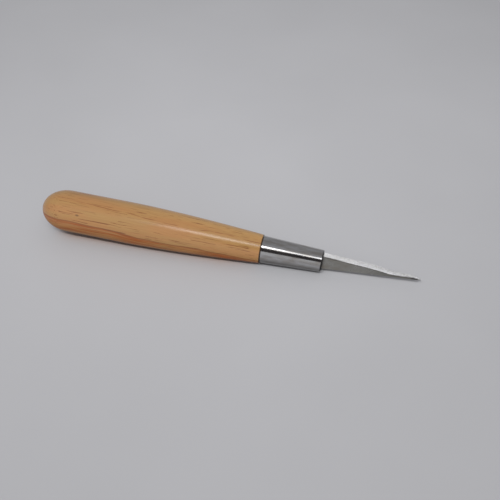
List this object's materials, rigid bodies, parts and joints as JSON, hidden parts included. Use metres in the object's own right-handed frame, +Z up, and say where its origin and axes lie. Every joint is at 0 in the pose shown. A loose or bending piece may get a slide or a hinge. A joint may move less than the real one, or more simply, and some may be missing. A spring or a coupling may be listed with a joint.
{
  "type": "pottery knife",
  "caption": "Potter's trimming knife: round tapered wooden handle, tapered steel ferrule and a slim single-bevel blade that narrows to a needle point.",
  "frame": {"origin": "on the table, under the middle of the knife's overall box", "axes": "+X towards the blade's tip, +Z up, -Y towards the side that shows the ground bevel; the knife's axis dips towards the tip, as it lies on the table"},
  "size_m": [0.1622, 0.0178, 0.0197],
  "materials": {
    "wood": "clear gloss lacquer over pale straight-grained hardwood",
    "ferrule_steel": "polished steel",
    "blade_steel": "satin faces with a coarsely ground bevel",
    "resin": "cured amber adhesive"
  },
  "bodies": {
    "root": {"handle": "wood", "ferrule": "ferrule_steel", "blade": "blade_steel", "tang_resin": "resin"}
  },
  "joints": []
}
